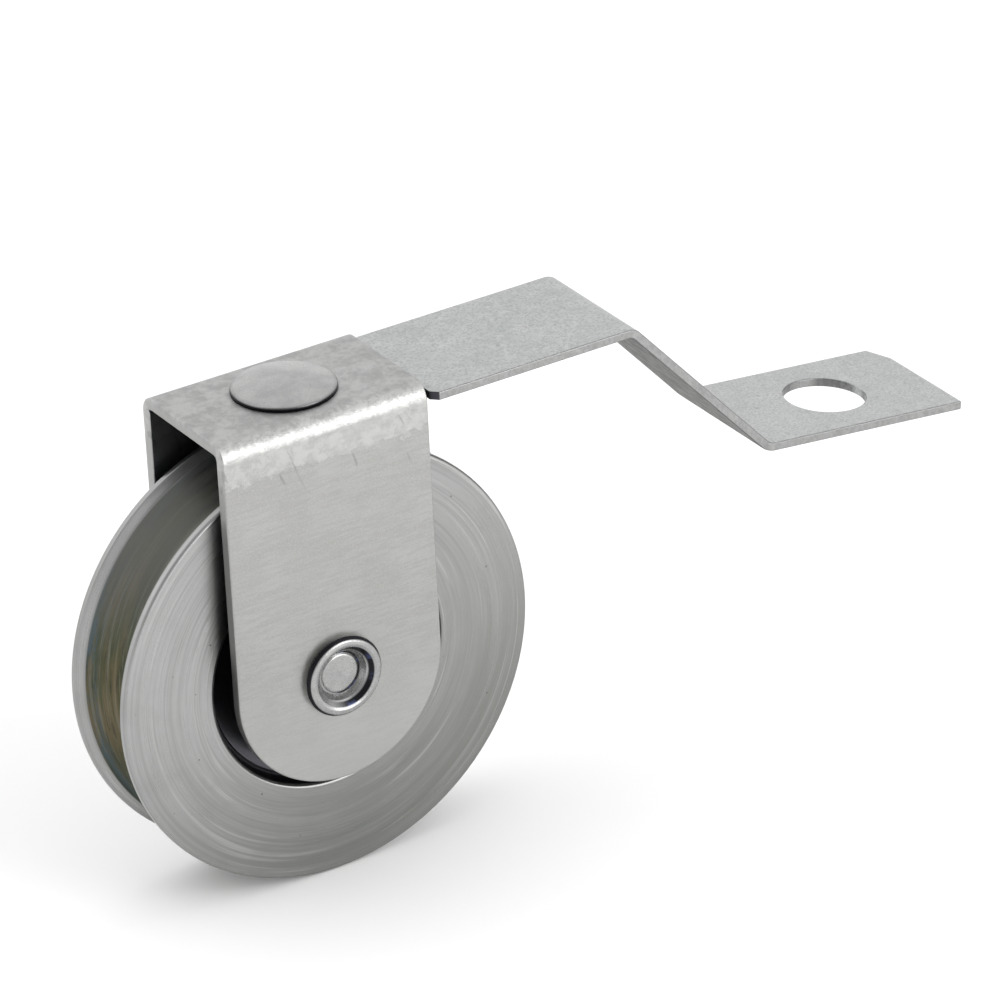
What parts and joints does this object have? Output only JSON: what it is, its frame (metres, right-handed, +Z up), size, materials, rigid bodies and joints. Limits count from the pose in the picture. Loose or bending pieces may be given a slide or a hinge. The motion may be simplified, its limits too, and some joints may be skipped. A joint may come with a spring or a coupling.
{
  "type": "gate wheel",
  "caption": "Grooved steel wheel on a ball bearing, held in a U-shaped sheet yoke that is riveted to an offset mounting strap with a bolt hole.",
  "frame": {"origin": "centre of the axle at the wheel's mid-plane", "axes": "+X along the strap towards its mounting hole, +Y along the axle from the rolled rivet end to the rivet's head, +Z up from the axle to the yoke's top"},
  "size_m": [0.1615, 0.029, 0.0868],
  "materials": {
    "zinc_sheet": "satin, faint horizontal grain",
    "zinc_strap": "satin, mottled zinc",
    "rivet_steel": "satin",
    "dark_steel": "dull",
    "bearing_steel": "polished",
    "cage_steel": "satin",
    "shield_steel": "satin",
    "turned_steel": "turned, fine rings"
  },
  "bodies": {
    "bracket": {"yoke": "zinc_sheet", "offset_strap": "zinc_strap", "top_rivet": "rivet_steel", "axle_rivet": "rivet_steel", "spacer_front": "dark_steel", "spacer_back": "dark_steel", "inner_race": "bearing_steel"},
    "wheel": {"wheel": "turned_steel", "outer_race": "bearing_steel", "shield_front": "shield_steel", "shield_back": "shield_steel", "retaining_ring": "dark_steel"},
    "ball_set": {"balls": "bearing_steel", "cage_front": "cage_steel", "cage_back": "cage_steel", "cage_rivets": "cage_steel"}
  },
  "joints": [
    {"name": "wheel_spin", "type": "hinge", "parent": "bracket", "child": "wheel", "pos_m": [0, 0, 0], "axis": [0, 1, 0], "continuous": true},
    {"name": "ball_orbit", "type": "hinge", "parent": "bracket", "child": "ball_set", "pos_m": [0, 0, 0], "axis": [0, 1, 0], "continuous": true}
  ],
  "couplings": [
    {"joint": "ball_orbit", "follows": "wheel_spin", "ratio": 0.625}
  ]
}
